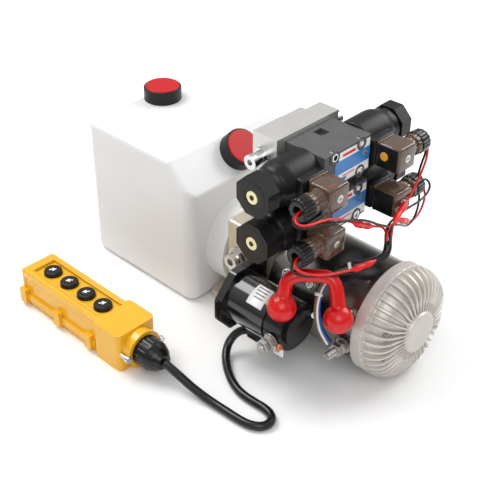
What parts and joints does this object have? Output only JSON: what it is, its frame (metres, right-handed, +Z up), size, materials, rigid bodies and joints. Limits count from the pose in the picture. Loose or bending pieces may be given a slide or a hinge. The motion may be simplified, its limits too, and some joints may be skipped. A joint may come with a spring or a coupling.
{
  "type": "hydraulic power unit",
  "caption": "Compact DC hydraulic power unit: tank, gear pump, manifold, stacked solenoid valves, motor, start contactor and a corded push-button pendant.",
  "frame": {"origin": "centre of the four mounting holes under the manifold, on its underside", "axes": "+X along the motor axis from tank to motor, +Y along the valves' long axis, +Z up"},
  "size_m": [0.424, 0.3163, 0.236],
  "materials": {
    "tank_plastic": "translucent satin",
    "cap_black": "satin",
    "cap_red": "satin",
    "cast_aluminium": "cast, satin",
    "machined_aluminium": "machined",
    "manifold_aluminium": "machined, warm",
    "steel": "bright",
    "chrome_steel": "polished",
    "coil_plastic": "satin",
    "valve_grey": "matt",
    "pin_cream": "satin",
    "smoked_plastic": "smoked",
    "motor_steel": "zinc plated",
    "magnet_black": "sintered",
    "contactor_black": "gloss black",
    "head_black": "moulded",
    "copper": "wound",
    "red_vinyl": "gloss",
    "pendant_yellow": "gloss",
    "button_black": "satin",
    "gland_black": "gloss",
    "cord_black": "satin"
  },
  "bodies": {
    "root": {"coil_nuts": "coil_plastic", "contactor_bracket": "contactor_black", "contactor_can": "contactor_black", "contactor_coil": "copper", "contactor_head": "head_black", "cord_clip": "head_black", "core_tubes": "steel", "field_magnets": "magnet_black", "manifold": "manifold_aluminium", "manifold_plugs": "steel", "motor_bearings": "steel", "motor_body": "motor_steel", "motor_bolts": "steel", "motor_end_housing": "cast_aluminium", "pendant_cord": "cord_black", "pendant_gland": "gland_black", "pendant_housing": "pendant_yellow", "pendant_screws": "chrome_steel", "plug_1_left": "smoked_plastic", "plug_1_right": "smoked_plastic", "plug_2_left": "smoked_plastic", "plug_2_right": "smoked_plastic", "plug_leads": "cord_black", "plug_screws": "steel", "pump_body": "cast_aluminium", "pump_cover": "cast_aluminium", "relief_cartridge": "chrome_steel", "suction_strainer": "steel", "tank": "tank_plastic", "tank_tubes": "smoked_plastic", "terminal_link": "red_vinyl", "terminal_studs": "steel", "tower_cartridges": "chrome_steel", "valve_1_body": "valve_grey", "valve_1_coil_left": "coil_plastic", "valve_1_coil_right": "coil_plastic", "valve_2_body": "valve_grey", "valve_2_coil_left": "coil_plastic", "valve_2_coil_right": "coil_plastic", "valve_screws": "steel", "valve_tower": "machined_aluminium", "wiring_loom": "cord_black"},
    "filler_cap": {"filler_cap": "cap_black", "filler_cap_disc": "cap_red"},
    "side_cap": {"side_cap": "cap_black", "side_cap_disc": "cap_red"},
    "rotor": {"motor_rotor": "steel", "pump_drive_gear": "steel"},
    "idler": {"pump_idler_gear": "steel"},
    "plunger": {"contactor_plunger": "steel"},
    "spool_1": {"valve_1_spool": "steel"},
    "pin_1_left": {"override_pin_1_left": "pin_cream"},
    "pin_1_right": {"override_pin_1_right": "pin_cream"},
    "spool_2": {"valve_2_spool": "steel"},
    "pin_2_left": {"override_pin_2_left": "pin_cream"},
    "pin_2_right": {"override_pin_2_right": "pin_cream"},
    "button_1": {"pendant_button_1": "button_black"},
    "button_2": {"pendant_button_2": "button_black"},
    "button_3": {"pendant_button_3": "button_black"},
    "button_4": {"pendant_button_4": "button_black"}
  },
  "joints": [
    {"name": "filler_cap_lift", "type": "slide", "parent": "root", "child": "filler_cap", "axis": [0, 0, 1], "range_m": [0, 0.025]},
    {"name": "side_cap_lift", "type": "slide", "parent": "root", "child": "side_cap", "axis": [0.7071, 0, 0.7071], "range_m": [0, 0.02]},
    {"name": "rotor_spin", "type": "hinge", "parent": "root", "child": "rotor", "pos_m": [0.1, 0, 0.062], "axis": [1, 0, 0], "continuous": true},
    {"name": "idler_spin", "type": "hinge", "parent": "root", "child": "idler", "pos_m": [-0.09, 0, 0.038], "axis": [1, 0, 0], "continuous": true},
    {"name": "contactor_pull", "type": "slide", "parent": "root", "child": "plunger", "axis": [1, 0, 0], "range_m": [0, 0.004], "stiffness_N_per_m": 800},
    {"name": "spool_1_shift", "type": "slide", "parent": "root", "child": "spool_1", "axis": [0, 1, 0], "range_m": [-0.003, 0.003], "stiffness_N_per_m": 2000},
    {"name": "pin_1_left_press", "type": "slide", "parent": "root", "child": "pin_1_left", "axis": [0, 1, 0], "range_m": [0, 0.002], "stiffness_N_per_m": 1500},
    {"name": "pin_1_right_press", "type": "slide", "parent": "root", "child": "pin_1_right", "axis": [0, -1, 0], "range_m": [0, 0.002], "stiffness_N_per_m": 1500},
    {"name": "spool_2_shift", "type": "slide", "parent": "root", "child": "spool_2", "axis": [0, 1, 0], "range_m": [-0.003, 0.003], "stiffness_N_per_m": 2000},
    {"name": "pin_2_left_press", "type": "slide", "parent": "root", "child": "pin_2_left", "axis": [0, 1, 0], "range_m": [0, 0.002], "stiffness_N_per_m": 1500},
    {"name": "pin_2_right_press", "type": "slide", "parent": "root", "child": "pin_2_right", "axis": [0, -1, 0], "range_m": [0, 0.002], "stiffness_N_per_m": 1500},
    {"name": "button_1_press", "type": "slide", "parent": "root", "child": "button_1", "axis": [0, 0, -1], "range_m": [0, 0.003], "stiffness_N_per_m": 600},
    {"name": "button_2_press", "type": "slide", "parent": "root", "child": "button_2", "axis": [0, 0, -1], "range_m": [0, 0.003], "stiffness_N_per_m": 600},
    {"name": "button_3_press", "type": "slide", "parent": "root", "child": "button_3", "axis": [0, 0, -1], "range_m": [0, 0.003], "stiffness_N_per_m": 600},
    {"name": "button_4_press", "type": "slide", "parent": "root", "child": "button_4", "axis": [0, 0, -1], "range_m": [0, 0.003], "stiffness_N_per_m": 600}
  ],
  "couplings": [
    {"joint": "idler_spin", "follows": "rotor_spin", "ratio": -1}
  ]
}
